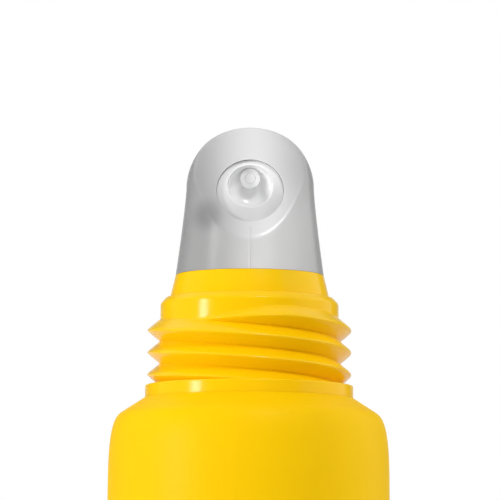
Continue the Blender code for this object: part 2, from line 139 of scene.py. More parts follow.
# %% Trees
class Tree:
    """A node tree, with one method that adds any node to it."""

    def __init__(self, tree):
        self.tree = tree

    def link(self, thing, socket):
        if isinstance(thing, Value):
            self.tree.links.new(thing.socket, socket)
        else:
            socket.default_value = thing

    def add(self, kind, settings=None, sockets=(), out=0):
        node = self.tree.nodes.new(kind)
        for name, setting in (settings or {}).items():
            if name == "stops":
                for stop, (place, colour) in zip(node.color_ramp.elements, setting):
                    stop.position, stop.color = place, colour
            else:
                setattr(node, name, setting)
        named = sockets.items() if isinstance(sockets, dict) else enumerate(sockets)
        for name, thing in named:
            self.link(thing, node.inputs[name])
        return Value(self, node.outputs[out])

    def value(self, number):
        return self.add("ShaderNodeMath", {"operation": "ADD"}, [number, 0.0])

    def finish(self, kind, **sockets):
        """The tree's last node."""
        end = self.tree.nodes.new(kind)
        for name, thing in sockets.items():
            self.link(thing, end.inputs[name])

    def parts(self, vector):
        """The x, y and z of a vector."""
        split = self.add("ShaderNodeSeparateXYZ", None, [vector]).socket.node
        return [Value(self, socket) for socket in split.outputs]


def fresh_tree(owner):
    """An empty node tree on a material or a world."""
    owner.use_nodes = True
    owner.node_tree.nodes.clear()
    return Tree(owner.node_tree)


print("trees can", [name for name in vars(Tree) if not name.startswith("__")])

# %% [markdown]
# ## Studio
#
# The background is plain white, and the room around it is dim, as in a studio where
# dark cards keep pale rims off the object. So a glossy surface shows white only
# straight behind the object and high above it. The even light on matt surfaces is set
# apart from that. Real cards could do the same, but they would also stand in the way
# of other views. The floor lies below the view and holds the shadow.

# %% World
WHITE = (1.0, 1.0, 1.0, 1.0)
AMBIENT = 0.47
ROOM = 0.05
BACKDROP_FALL = 14.0
# How steeply a mirrored ray must rise before it meets white, and all of it
OVERHEAD = 0.45, 0.75
UNDER_ONE_BOUNCE = 0.5


def shown_rays(tree):
    """1 for rays from the camera, and 1 for what it sees mirrored or through clear things."""
    names = "Is Camera Ray", "Is Glossy Ray", "Is Transmission Ray", "Diffuse Depth"
    rays = [tree.add("ShaderNodeLightPath", out=name) for name in names]
    direct, glossy, passing, bounces = rays
    unspread = bounces.math("LESS_THAN", UNDER_ONE_BOUNCE)
    return direct, (glossy + passing).math("MINIMUM", 1.0) * unspread


world = bpy.data.worlds.new("studio")
bpy.context.scene.world = world
tree = fresh_tree(world)
direct, mirrored = shown_rays(tree)
_, backwards_share, upwards_share = tree.parts(tree.add("ShaderNodeTexCoord", out="Generated"))
behind = backwards_share.math("MAXIMUM", 0.0) ** BACKDROP_FALL
reflected = behind.math("MAXIMUM", upwards_share.between(*OVERHEAD)) * (1 - ROOM) + ROOM
level = direct + (1 - direct) * (mirrored * (reflected - AMBIENT) + AMBIENT)
glow = tree.add("ShaderNodeBackground", None, {"Color": WHITE, "Strength": level})
tree.finish("ShaderNodeOutputWorld", Surface=glow)
print("light from all round:", AMBIENT)

# %% Floor
FLOOR_SIZE = 3.0
FLOOR_GLOW = 0.55
PALE = (0.7, 0.7, 0.7, 1.0)

floor_look = bpy.data.materials.new("pale_floor")
tree = fresh_tree(floor_look)
matt = tree.add("ShaderNodeBsdfDiffuse", None, {"Color": PALE})
shine = tree.add("ShaderNodeEmission", None, {"Color": WHITE, "Strength": 1.0})
mix = tree.add("ShaderNodeMixShader", None, [sum(shown_rays(tree)) * FLOOR_GLOW, matt, shine])
tree.finish("ShaderNodeOutputMaterial", Surface=mix)

floor_mesh = bpy.data.meshes.new("floor")
half = FLOOR_SIZE / 2
ends = [(-half, -half, 0), (half, -half, 0), (half, half, 0), (-half, half, 0)]
floor_mesh.from_pydata(ends, [], [(0, 1, 2, 3)])
floor_mesh.materials.append(floor_look)
floor = bpy.data.objects.new("floor", floor_mesh)
collection.objects.link(floor)
print("floor in metres:", FLOOR_SIZE)

# %% [markdown]
# ## Lamps
#
# Glossy plastic draws its lamps as highlights. The neck shows one narrow upright
# strip about 30 degrees round to the left, so its lamp is a tall narrow softbox at
# twice that angle. A broad softbox on each side lights the flanks, the right one
# larger and nearer the camera's side. A small one high on the right catches the lower
# edge of the slanted face.

# %% Lamps
LAMP_FOCUS = Vector((0, 0, 62 * MM))

# Name, azimuth and elevation in degrees, distance, width and height in metres, radiance
SOFTBOXES = (
    ("strip_lamp", -61, 6, 0.5, 0.09, 0.16, 29),
    ("left_lamp", -98, 10, 0.6, 0.5, 0.6, 0.4),
    ("right_lamp", 96, 10, 0.6, 0.9, 0.9, 1.05),
    ("upper_lamp", 20, 50, 0.6, 0.1, 0.1, 32),
)


def softbox(name, azimuth, elevation, distance, width, height, radiance):
    """A rectangular lamp, azimuth degrees round to the right from the camera."""
    around, up = math.radians(azimuth), math.radians(elevation)
    level = math.cos(up)
    away = Vector((math.sin(around) * level, -math.cos(around) * level, math.sin(up)))
    light = bpy.data.lights.new(name, "AREA")
    light.shape = "RECTANGLE"
    light.size, light.size_y = width, height
    light.energy = radiance * math.pi * width * height
    lamp = bpy.data.objects.new(name, light)
    collection.objects.link(lamp)
    lamp.location = LAMP_FOCUS + distance * away
    lamp.rotation_mode = "QUATERNION"
    lamp.rotation_quaternion = away.to_track_quat("Z", "Y")
    print(f"{name}: {light.energy:.2f} W")


for box in SOFTBOXES:
    softbox(*box)

# %% [markdown]
# ## Yellow plastic
#
# Sleeve and head are polyethylene in one colour. The sleeve is an extruded tube with
# a satin skin and very faint streaks along its length. The head comes from a polished
# mould, so it shines more. One flat colour would look painted, so slow noise moves
# between two near yellows and fine noise gives the skin its peel. A little light
# travels under the surface, which keeps the shaded flanks of the thread yellow
# instead of brown.

# %% Helpers for materials
def principled(tree, **sockets):
    """A Principled shader; its constants stay on its own sockets."""
    sockets = {name.replace("_", " "): thing for name, thing in sockets.items()}
    return tree.add("ShaderNodeBsdfPrincipled", None, sockets)


def object_place(tree, scale=(1, 1, 1)):
    """The point on the object, in metres, stretched by the scale."""
    spot = tree.add("ShaderNodeTexCoord", out="Object")
    settings = {"operation": "MULTIPLY"}
    return tree.add("ShaderNodeVectorMath", settings, [spot, scale])


def noise(tree, place, scale):
    """Soft random patches between 0 and 1; a larger scale makes them smaller."""
    sockets = {"Vector": place, "Scale": scale, "Detail": 2.0, "Roughness": 0.5}
    return tree.add("ShaderNodeTexNoise", None, sockets, out="Fac")


def between_colours(tree, factor, low, high):
    stops = {"stops": [(0.0, low), (1.0, high)]}
    return tree.add("ShaderNodeValToRGB", stops, [factor])


def bumped(tree, height):
    """A normal from a height in millimetres."""
    return tree.add("ShaderNodeBump", None, {"Distance": MM, "Height": height})


print("materials read Object coordinates, which every piece carries with it")

# %% Yellow plastic
YELLOW = (0.972, 0.592, 0.0015, 1.0)
DEEP_YELLOW = (0.940, 0.557, 0.0010, 1.0)
LENGTHWISE = (1.0, 1.0, 0.03)
STREAK_SCALE = 2600.0
PEEL_SCALE = 2200.0
TINT_SCALE = 160.0
WIPE_SCALE = 420.0
WIPE_DEPTH = 0.06


def yellow_plastic(name, roughness, shine, streaks, peel):
    """Yellow plastic; streaks and peel are heights in mm along it and all over it."""
    look = bpy.data.materials.new(name)
    tree = fresh_tree(look)
    place = object_place(tree)
    drawn = noise(tree, object_place(tree, LENGTHWISE), STREAK_SCALE)
    height = drawn * streaks + noise(tree, place, PEEL_SCALE) * peel
    tint = noise(tree, place, TINT_SCALE)
    surface = principled(
        tree,
        Base_Color=between_colours(tree, tint, DEEP_YELLOW, YELLOW),
        Roughness=noise(tree, place, WIPE_SCALE) * WIPE_DEPTH + roughness,
        IOR=1.5,
        Specular_IOR_Level=shine,
        Subsurface_Weight=0.12,
        Subsurface_Radius=(0.6, 0.5, 0.1),
        Subsurface_Scale=1.2 * MM,
        Normal=bumped(tree, height),
    )
    tree.finish("ShaderNodeOutputMaterial", Surface=surface)
    return look


sleeve_look = yellow_plastic("satin_yellow", 0.38, shine=0.05, streaks=0.012, peel=0.006)
head_look = yellow_plastic("polished_yellow", 0.14, shine=0.15, streaks=0.0, peel=0.002)
print("finishes:", sleeve_look.name, head_look.name)

# %% [markdown]
# ## Frosted tip, glossy nozzle and balm
#
# The tip is soft natural plastic with a frosted skin. Light enters it, scatters and
# comes out again further on, so it is palest a little right of the middle, where the
# light from the left comes out, and it dims to both sides. A clear shader could do
# that, but it rendered with fine cracks in this piece. So the shader only scatters,
# and that light is painted into the colour as a pale band across the width, tied to
# the object and not to the view, with a patch of painted shade beside the well. A
# hair-thin parting line runs down the front. The nozzle is the same family of plastic,
# but glossy. Its colour holds painted light and shade: the rim is painted paler at its
# top and darker on its right, the bowl and spout are painted paler, and the sides of
# the bowl carry painted highlights. The balm behind them is a pale wax. A pair of
# lengths below says where a change begins and where it ends.

# %% Milky plastic and wax
CLOUD_SCALE = 300.0
CLOUD_DEPTH = 0.06
SMEAR_SCALE = 500.0
SMEAR_DEPTH = 0.05
GRAIN_SCALE = 3000.0


def milky_look(name, roughness, grain, colouring):
    """A material whose grey, and a relief in mm, come from a function of x, y and z."""
    look = bpy.data.materials.new(name)
    tree = fresh_tree(look)
    place = object_place(tree)
    grey, relief = colouring(*tree.parts(place))
    height = noise(tree, place, GRAIN_SCALE) * grain + relief
    cloud = noise(tree, place, CLOUD_SCALE) * CLOUD_DEPTH + (1 - CLOUD_DEPTH / 2)
    shade = cloud * grey
    surface = principled(
        tree,
        Base_Color=tree.add("ShaderNodeCombineXYZ", None, [shade, shade, shade]),
        Roughness=noise(tree, place, SMEAR_SCALE) * SMEAR_DEPTH + roughness,
        IOR=1.45,
        Specular_IOR_Level=0.6,
        Subsurface_Weight=0.2,
        Subsurface_Radius=(1.0, 1.0, 1.0),
        Subsurface_Scale=0.5 * MM,
        Normal=bumped(tree, height),
    )
    tree.finish("ShaderNodeOutputMaterial", Surface=surface)
    return look


def distance(a, b, a_spot, b_spot):
    """How far a point lies from a spot, in the plane of two of its coordinates."""
    return ((a - a_spot) ** 2 + (b - b_spot) ** 2) ** 0.5


BALM_GREY = 0.93
balm_look = milky_look("pale_balm", 0.45, 0.006, lambda x, y, z: (BALM_GREY, 0.0))
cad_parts["balm_fill"].data.materials.clear()
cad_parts["balm_fill"].data.materials.append(balm_look)
print("finish:", balm_look.name)

# %% Frosted tip
PARTING_LINE_WIDTH = 0.09 * MM
PARTING_LINE_CREST_SHARE = 0.4
PARTING_LINE_TOP = 70.2 * MM
PARTING_LINE_FADE = 0.3 * MM
PARTING_LINE_HEIGHT = 0.02
FRONT_ENDS = -2.0 * MM, -1.0 * MM
DOME_RISE = 70 * MM, 75 * MM
# Painted light: a pale band where light scattered inside the plastic comes out
GLOW_REACH = 4.5 * MM
GLOW_SHIFT_LOW = 1.2 * MM
GLOW_SHIFT_TOP = 0.3 * MM
PAINTED_GLOW_LIFT = 0.38
# Painted light: the dome a touch paler, as lit from above
DOME_PAINTED_LIGHT = 0.01
TIP_GREY = 0.34
# Painted shade: a darker patch beside the well, at its lower left
PAINTED_SHADE_SPOT = -2.8 * MM, 71.0 * MM
PAINTED_SHADE_REACH = 0.3 * MM, 1.5 * MM
PAINTED_SHADE_DROP = 0.1


def tip_painted_light(x, y, z):
    """Painted light and shade: a pale band of scattered light that leans to the right, a paler
    dome, and a patch of painted shade beside the well.
    """
    crest = PARTING_LINE_WIDTH * PARTING_LINE_CREST_SHARE
    strip = 1 - abs(x).between(crest, PARTING_LINE_WIDTH)
    front = 1 - y.between(*FRONT_ENDS)
    low = 1 - z.between(PARTING_LINE_TOP - PARTING_LINE_FADE, PARTING_LINE_TOP)
    dome = z.between(*DOME_RISE)
    shift = dome * (GLOW_SHIFT_TOP - GLOW_SHIFT_LOW) + GLOW_SHIFT_LOW
    # painted light of the scattered light, leaning right of the middle
    glow = 1 - abs(x - shift).between(0.0, GLOW_REACH)
    # painted shade beside the well
    painted_shade = (1 - distance(x, z, *PAINTED_SHADE_SPOT).between(*PAINTED_SHADE_REACH)) * front
    grey = glow * PAINTED_GLOW_LIFT + dome * DOME_PAINTED_LIGHT + TIP_GREY - painted_shade * PAINTED_SHADE_DROP
    return grey, strip * front * low * PARTING_LINE_HEIGHT


tip_look = milky_look("frosted_natural", 0.22, 0.003, tip_painted_light)
print("finish:", tip_look.name)

# %% Glossy nozzle
NOZZLE_MIDDLE = 73.11 * MM
BOWL_EDGE = 1.5 * MM, 1.6 * MM
SPOUT_MIDDLE = 73.78 * MM
SPOUT_EDGE = 0.65 * MM, 0.7 * MM
# Painted light: the rim painted paler towards its top, against the shade of the well
RIM_PAINTED_LIGHT_RISE = 71.0 * MM, 75.0 * MM
RIM_PAINTED_LIGHT = 0.34
RIM_GREY = 0.62
# Painted shade: the rim darker on its right
RIM_PAINTED_SHADE_SIDE = 0.5 * MM, 2.0 * MM
RIM_PAINTED_SHADE_DROP = 0.1
# Painted light: the bowl painted paler than the rim, against the shade in its recess
BOWL_PAINTED_LIGHT_GREY = 0.93
# Painted highlights on the bowl's sides: their heights, edges and strengths
BOWL_HIGHLIGHT_LOW = 71.8 * MM, 72.6 * MM
BOWL_HIGHLIGHT_HIGH = 73.6 * MM, 74.4 * MM
BOWL_LEFT_HIGHLIGHT_EDGE = -1.1 * MM, -0.6 * MM
BOWL_LEFT_PAINTED_HIGHLIGHT = 0.06
BOWL_RIGHT_HIGHLIGHT_EDGE = 0.9 * MM, 1.3 * MM
BOWL_RIGHT_PAINTED_HIGHLIGHT = 0.02
# Painted light: the sunk spout painted palest, against its shade
SPOUT_PAINTED_LIGHT_GREY = 0.97


def nozzle_painted_light(x, y, z):
    """Painted light and shade: a grey rim painted paler at its top and darker on its right, a
    bowl and spout painted paler against the shade of the recess, and painted highlights on the
    bowl's sides.
    """
    on_rim = distance(x, z, 0.0, NOZZLE_MIDDLE).between(*BOWL_EDGE)
    on_spout = 1 - distance(x, z, 0.0, SPOUT_MIDDLE).between(*SPOUT_EDGE)
    # painted light at the rim's top and painted shade on its right
    rim = z.between(*RIM_PAINTED_LIGHT_RISE) * RIM_PAINTED_LIGHT + RIM_GREY - x.between(*RIM_PAINTED_SHADE_SIDE) * RIM_PAINTED_SHADE_DROP
    # painted highlights on both sides of the bowl, between these heights
    level = z.between(*BOWL_HIGHLIGHT_LOW) * (1 - z.between(*BOWL_HIGHLIGHT_HIGH))
    left, right = 1 - x.between(*BOWL_LEFT_HIGHLIGHT_EDGE), x.between(*BOWL_RIGHT_HIGHLIGHT_EDGE)
    bowl = level * (left * BOWL_LEFT_PAINTED_HIGHLIGHT + right * BOWL_RIGHT_PAINTED_HIGHLIGHT) + BOWL_PAINTED_LIGHT_GREY
    bowl = bowl + on_spout * (SPOUT_PAINTED_LIGHT_GREY - bowl)
    return bowl + on_rim * (rim - bowl), 0.0


nozzle_look = milky_look("glossy_natural", 0.12, 0.001, nozzle_painted_light)
print("finish:", nozzle_look.name)

# %% [markdown]
# ## Skinning rings
#
# Sleeve, head, tip and nozzle start as stacks of rings. Blender's own cylinders and
# spins could give them, but plain rings of points keep the number of facets and their
# places in hand. One helper joins neighbouring rings with faces and closes the ends.
# Another gives a mesh its finish and its place on the body and marks the edges that
# stay sharp. Rings start half a side round, as in the solids, so that both meshes have
# their flats in the same places.

# %% Rings and skins
FIRST_CORNER_SHARE = 0.5


def turns(sides):
    """The angles of a ring's corners."""
    return [FULL_TURN * (side + FIRST_CORNER_SHARE) / sides for side in range(sides)]


def circle(radius, height, sides):
    """A level ring of points, or a single point where the radius is zero."""
    if radius <= 0:
        return [Vector((0, 0, height))]
    return [Vector((radius * math.cos(t), radius * math.sin(t), height)) for t in turns(sides)]


def as_mesh(name, body):
    """A mesh from a bmesh, which is freed."""
    mesh = bpy.data.meshes.new(name)
    body.to_mesh(mesh)
    body.free()
    return mesh


def skin(name, rings):
    """A closed mesh through rings of points; a ring of one point is a pole."""
    body = bmesh.new()
    rows = [[body.verts.new(point) for point in ring] for ring in rings]
    for low, high in zip(rows, rows[1:]):
        count = max(len(low), len(high))
        for side in range(count):
            after = (side + 1) % count
            corners = [low[side % len(low)], low[after % len(low)]]
            corners += [high[after % len(high)], high[side % len(high)]]
            body.faces.new(list(dict.fromkeys(corners)))
    for end in (rows[0], rows[-1]):
        if len(end) > 1:
            body.faces.new(end)
    bmesh.ops.recalc_face_normals(body, faces=body.faces[:])
    return as_mesh(name, body)


print("ready to skin rings")

# %% Finished pieces
SHARP_ANGLE = math.radians(32)


def finished(name, mesh, look, replaced):
    """A piece in its place, riding on the body, with its finish and the node it stands for."""
    mesh.shade_smooth()
    mesh.set_sharp_from_angle(angle=SHARP_ANGLE)
    mesh.materials.clear()
    mesh.materials.append(look)
    piece = bpy.data.objects.new(name, mesh)
    collection.objects.link(piece)
    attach(piece, "root")
    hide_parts(replaced)
    print(f"{name}: {len(mesh.polygons)} faces")


print("edges sharper than this many degrees stay sharp:", round(math.degrees(SHARP_ANGLE)))

# %% [markdown]
# ## Sleeve
#
# A tube of film keeps its girth when its tail is pressed flat, so the further down a
# section lies, the flatter and the wider it is. A cylinder squeezed by a lattice would
# look much the same but would lose that rule. So each section is a curve between an
# ellipse and a rounded rectangle, and its width is searched for until the girth fits.
# The same sections, set in by the wall, make the hollow inside. The shoulder's
# round corner is a curve with two handles, turned about the axis.

# %% Sections of one girth
TUBE_RADIUS = 9.5 * MM
TUBE_SIDES = 144
GIRTH_HALVINGS = 24


def oval(half_width, half_depth, power, height):
    """A level section between an ellipse (power 2) and a rounded rectangle."""
    ring = []
    for turn in turns(TUBE_SIDES):
        across, along = math.cos(turn), math.sin(turn)
        x = half_width * math.copysign(abs(across) ** (2 / power), across)
        y = half_depth * math.copysign(abs(along) ** (2 / power), along)
        ring.append(Vector((x, y, height)))
    return ring


def girth(ring):
    return sum((a - b).length for a, b in zip(ring, ring[1:] + ring[:1]))


def half_width_at(half_depth, power):
    """The half width that gives a section the same girth as the round tube."""
    wanted = girth(circle(TUBE_RADIUS, 0, TUBE_SIDES))
    low, high = 0, wanted / 2
    for _ in range(GIRTH_HALVINGS):
        middle = (low + high) / 2
        if girth(oval(middle, half_depth, power, 0)) < wanted:
            low = middle
        else:
            high = middle
    return low


print("girth in mm:", round(girth(circle(TUBE_RADIUS, 0, TUBE_SIDES)) / MM, 2))

# %% From the round top to the flat seal
SLEEVE_WALL = 0.45 * MM
SEAL_HEIGHT = 4.0 * MM
ROUND_TOP = 53.0 * MM
FOLD_EASE_SHARE = 0.15
FOLD_STEEPNESS = 1 / (1 - FOLD_EASE_SHARE / 2)
SEAL_SQUARENESS = 6.0
SQUARENESS_POWER = 6
FOLD_ROWS = 44
FOLD_ROW_POWER = 1.3


def folded(share):
    """How far the sleeve is pressed flat: a gentle start, and then a straight wedge."""
    if share < FOLD_EASE_SHARE:
        return FOLD_STEEPNESS * share**2 / (2 * FOLD_EASE_SHARE)
    return FOLD_STEEPNESS * (share - FOLD_EASE_SHARE / 2)


def sleeve_section(share, inset):
    """A section of the sleeve, from share 0 at the round top to share 1 at the seal."""
    height = ROUND_TOP + (SEAL_HEIGHT - ROUND_TOP) * share
    half_depth = TUBE_RADIUS - (TUBE_RADIUS - SLEEVE_WALL) * folded(share)
    power = 2 + (SEAL_SQUARENESS - 2) * share**SQUARENESS_POWER
    half_width = half_width_at(half_depth, power)
    return oval(half_width - inset, max(half_depth - inset, 0), power, height)


def fold_shares(last):
    """Shares of the rows, closest together near the round top."""
    return [last * (row / FOLD_ROWS) ** FOLD_ROW_POWER for row in range(FOLD_ROWS + 1)]


half_seal = half_width_at(SLEEVE_WALL, SEAL_SQUARENESS)
print("width of the seal in mm:", round(2 * half_seal / MM, 2))

# %% Shoulder
SLEEVE_HEIGHT = 58.9 * MM
RING_RADIUS = 7.04 * MM
SHOULDER_SLOPE = math.radians(32)
CORNER_SHARE = 0.634
CORNER_RADIUS = RING_RADIUS + (TUBE_RADIUS - RING_RADIUS) * CORNER_SHARE
CORNER_ROWS = 20
SIDE_HANDLE_SHARE = 0.7
CORNER_HANDLE_SHARE = 0.8


def shoulder_outline(inset, rows=CORNER_ROWS):
    """(radius, height) points over the rounded shoulder, pushed inwards by the inset."""
    slope = Vector((math.cos(SHOULDER_SLOPE), -math.sin(SHOULDER_SLOPE)))
    drop = (CORNER_RADIUS - RING_RADIUS) * math.tan(SHOULDER_SLOPE)
    first = Vector((TUBE_RADIUS, ROUND_TOP))
    last = Vector((CORNER_RADIUS, SLEEVE_HEIGHT - drop))
    side_handle = first + Vector((0, SIDE_HANDLE_SHARE * (last.y - first.y)))
    top_handle = last + slope * CORNER_HANDLE_SHARE * (TUBE_RADIUS - CORNER_RADIUS)
    controls = first, side_handle, top_handle, last
    outline = []
    for row in range(rows + 1):
        t = row / rows
        weights = (1 - t) ** 3, 3 * t * (1 - t) ** 2, 3 * t**2 * (1 - t), t**3
        spot = sum((w * c for w, c in zip(weights, controls)), Vector((0, 0)))
        steps = [b - a for a, b in zip(controls, controls[1:])]
        weights = (1 - t) ** 2, 2 * t * (1 - t), t**2
        along = sum((w * s for w, s in zip(weights, steps)), Vector((0, 0)))
        inward = Vector((-along.y, along.x)).normalized()
        outline.append(tuple(spot + inward * inset))
    return outline


def slope_height(radius, inset):
    """Height of the straight shoulder at a radius, under the inset."""
    rise = (RING_RADIUS - radius) * math.tan(SHOULDER_SLOPE)
    return SLEEVE_HEIGHT + rise - inset / math.cos(SHOULDER_SLOPE)


print("points over the shoulder:", len(shoulder_outline(0)))

# %% Sleeve
WELD_GAP = 0.05 * MM
SLIT_DEPTH = 1.25 * SLEEVE_WALL

outside = [sleeve_section(share, 0) for share in reversed(fold_shares(1))]
tail = [Vector((point.x, point.y, 0)) for point in outside[0]]
mouth = RING_RADIUS + WELD_GAP
shoulder = shoulder_outline(0)[1:] + [(mouth, SLEEVE_HEIGHT)]
shoulder += [(mouth, slope_height(mouth, SLEEVE_WALL))]
shoulder += list(reversed(shoulder_outline(SLEEVE_WALL)[1:]))
# The hollow ends in a thin slit just above the seal.
pressed = (TUBE_RADIUS - SLIT_DEPTH) / (TUBE_RADIUS - SLEEVE_WALL)
slit = pressed / FOLD_STEEPNESS + FOLD_EASE_SHARE / 2
inside = [sleeve_section(share, SLEEVE_WALL) for share in fold_shares(slit)]
rings = [tail] + outside + [circle(r, z, TUBE_SIDES) for r, z in shoulder] + inside
sleeve_mesh = skin("sleeve_skin", rings)
finished("sleeve_skin", sleeve_mesh, sleeve_look, "tube_sleeve")

# %% [markdown]
# ## Pressed ribs on the seal
#
# Heated jaws close the tail and leave a row of small upright ribs on both faces. A
# bump in the material would show them only face on, so they are real geometry. One
# rib is modelled, with its edges softened. A Geometry Nodes tree then repeats it:
# a line of points carries instances along the front, and the same row turned half
# round makes the back, so no rib is mirrored inside out.

# %% Helpers that grow a mesh through a Geometry Nodes tree
NUMBER, COUNT = "NodeSocketFloat", "NodeSocketInt"


def geometry_tree(name, numbers):
    """A tree with named inputs. Returns it, its incoming geometry and its inputs."""
    group = bpy.data.node_groups.new(name, "GeometryNodeTree")
    for way in ("INPUT", "OUTPUT"):
        group.interface.new_socket("Geometry", in_out=way, socket_type="NodeSocketGeometry")
    for label, (kind, _) in numbers.items():
        group.interface.new_socket(label, in_out="INPUT", socket_type=kind)
    tree = Tree(group)
    entry = group.nodes.new("NodeGroupInput")
    inputs = {label: Value(tree, entry.outputs[label]) for label in numbers}
    return tree, Value(tree, entry.outputs["Geometry"]), inputs


def plain_mesh(carrier, *tools):
    """The mesh that the carrier's modifiers make. The carrier and its tools then go."""
    graph = bpy.context.evaluated_depsgraph_get()
    result = bpy.data.meshes.new_from_object(carrier.evaluated_get(graph))
    for thing in (carrier, *tools):
        bpy.data.objects.remove(thing, do_unlink=True)
    return result


def grown(name, mesh, tree, geometry, numbers, look):
    """Ends the tree, runs it on a mesh, and returns the plain mesh that it makes."""
    whole = tree.add("GeometryNodeRealizeInstances", None, [geometry])
    dressed = tree.add("GeometryNodeSetMaterial", None, {"Geometry": whole, "Material": look})
    tree.finish("NodeGroupOutput", Geometry=dressed)
    carrier = bpy.data.objects.new(name, mesh)
    collection.objects.link(carrier)
    modifier = carrier.modifiers.new(name, "NODES")
    modifier.node_group = tree.tree
    for item in tree.tree.interface.items_tree:
        if item.in_out == "INPUT" and item.name in numbers:
            modifier[item.identifier] = numbers[item.name][1]
    return plain_mesh(carrier)


print("geometry trees end in Realize Instances and Set Material")

# %% One rib
RIB_WIDTH = 0.5 * MM
RIB_CREST_WIDTH = 0.25 * MM
RIB_PROUD = 0.12 * MM
RIB_MARGIN = 0.5 * MM
RIB_SOFTNESS = 0.04 * MM


def rib_mesh():
    """One rib in the middle of the front face, half sunk into the film."""
    body = bmesh.new()
    rows = []
    low, high = RIB_MARGIN, SEAL_HEIGHT - RIB_MARGIN
    root = SLEEVE_WALL / 2, RIB_WIDTH, 0
    crest = SLEEVE_WALL + RIB_PROUD, RIB_CREST_WIDTH, RIB_PROUD
    for depth, width, shrink in (root, crest):
        across, foot, head = width / 2, low + shrink, high - shrink
        corners = (-across, foot), (across, foot), (across, head), (-across, head)
        rows.append([body.verts.new((x, -depth, z)) for x, z in corners])
    for side in range(4):
        after = (side + 1) % 4
        body.faces.new([rows[0][side], rows[0][after], rows[1][after], rows[1][side]])
    body.faces.new(rows[0])
    body.faces.new(rows[1])
    bmesh.ops.recalc_face_normals(body, faces=body.faces[:])
    edges = [edge for edge in body.edges if all(v in rows[1] for v in edge.verts)]
    softness = {"offset": RIB_SOFTNESS, "segments": 2, "profile": 0.5}
    bmesh.ops.bevel(body, geom=edges, affect="EDGES", **softness)
    return as_mesh("one_rib", body)


rib = rib_mesh()
print("faces of one rib:", len(rib.polygons))

# %% Both rows of ribs
RIB_PITCH = 1.0 * MM
RIB_SIDE_MARGIN = 1.2 * MM

ribs_a_face = 2 * int((half_seal - RIB_SIDE_MARGIN) / RIB_PITCH) + 1
ROW_NUMBERS = {"Count": (COUNT, ribs_a_face), "Pitch": (NUMBER, RIB_PITCH)}
tree, one_rib, given = geometry_tree("rib_row", ROW_NUMBERS)
first = (given["Count"] - 1) * given["Pitch"] * -0.5
start = tree.add("ShaderNodeCombineXYZ", None, {"X": first})
step = tree.add("ShaderNodeCombineXYZ", None, {"X": given["Pitch"]})
line = {"Count": given["Count"], "Start Location": start, "Offset": step}
points = tree.add("GeometryNodeMeshLine", {"mode": "OFFSET"}, line)
front = tree.add("GeometryNodeInstanceOnPoints", None, {"Points": points, "Instance": one_rib})
half_round = {"Geometry": front, "Rotation": (0, 0, math.pi)}
back = tree.add("GeometryNodeTransform", None, half_round)
both = tree.add("GeometryNodeJoinGeometry", None, [front])
tree.link(back, both.socket.node.inputs[0])
ribs_mesh = grown("rib_row", rib, tree, both, ROW_NUMBERS, sleeve_look)
finished("seal_ribs", ribs_mesh, sleeve_look, "tube_sleeve")
print("ribs on each face:", ribs_a_face)

# %% [markdown]
# ## Head with its screw neck
#
# The head is a turned body with one feature that isn't round: two thread ridges that
# wind down the neck. Its outline is a list of corners, some of them with a softness
# that rounds them. Ridges joined on by a Boolean would leave thin ragged faces, which
# break a highlight. So the neck's wall is first made as a plain cylinder, but its rows
# of faces already wind down with the thread, and every crest and every root will lie
# along edges of the mesh.

# %% Outline of the head
NECK_RADIUS = 6.03 * MM
NECK_TOP = SLEEVE_HEIGHT + 6.8 * MM
RING_TOP = SLEEVE_HEIGHT + 0.86 * MM
CHAMFER_WIDTH = 0.37 * MM
CHAMFER_HEIGHT = 0.42 * MM
COLLAR_FOOT_RADIUS = 5.4 * MM
COLLAR_TOP_RADIUS = 5.02 * MM
TIP_FOOT = NECK_TOP + 1.55 * MM
BORE_RADIUS = 4.2 * MM
FLANGE_WALL = 1.0 * MM
FLANGE_ROWS = 8
SKIRT_WALL = 0.7 * MM
SKIRT_FOOT = 55.33 * MM
PLUG_CLEARANCE = 0.05 * MM
BEAD_PROUD = 0.14 * MM
HALF_BEAD = 0.5 * MM
BEAD_MIDDLE = TIP_FOOT - 3.6 * MM
RING_SOFTNESS = 0.1 * MM
CHAMFER_SOFTNESS = 0.12 * MM
LEDGE_SOFTNESS = 0.08 * MM
MOUTH_SOFTNESS = 0.06 * MM
FILLET_STEPS = 4


def softened(corners):
    """An outline whose (radius, height, softness) corners are rounded by their softness."""
    outline = []
    spots = [Vector(corner[:2]) for corner in corners]
    for index, (spot, corner) in enumerate(zip(spots, corners)):
        if len(corner) < 3:
            outline.append(tuple(spot))
            continue
        into, out = spots[index - 1] - spot, spots[(index + 1) % len(spots)] - spot
        into, out = (way * min(corner[2] / way.length, 0.5) for way in (into, out))
        for step in range(FILLET_STEPS + 1):
            t = step / FILLET_STEPS
            outline.append(tuple(spot + into * (1 - t) ** 2 + out * t**2))
    return outline


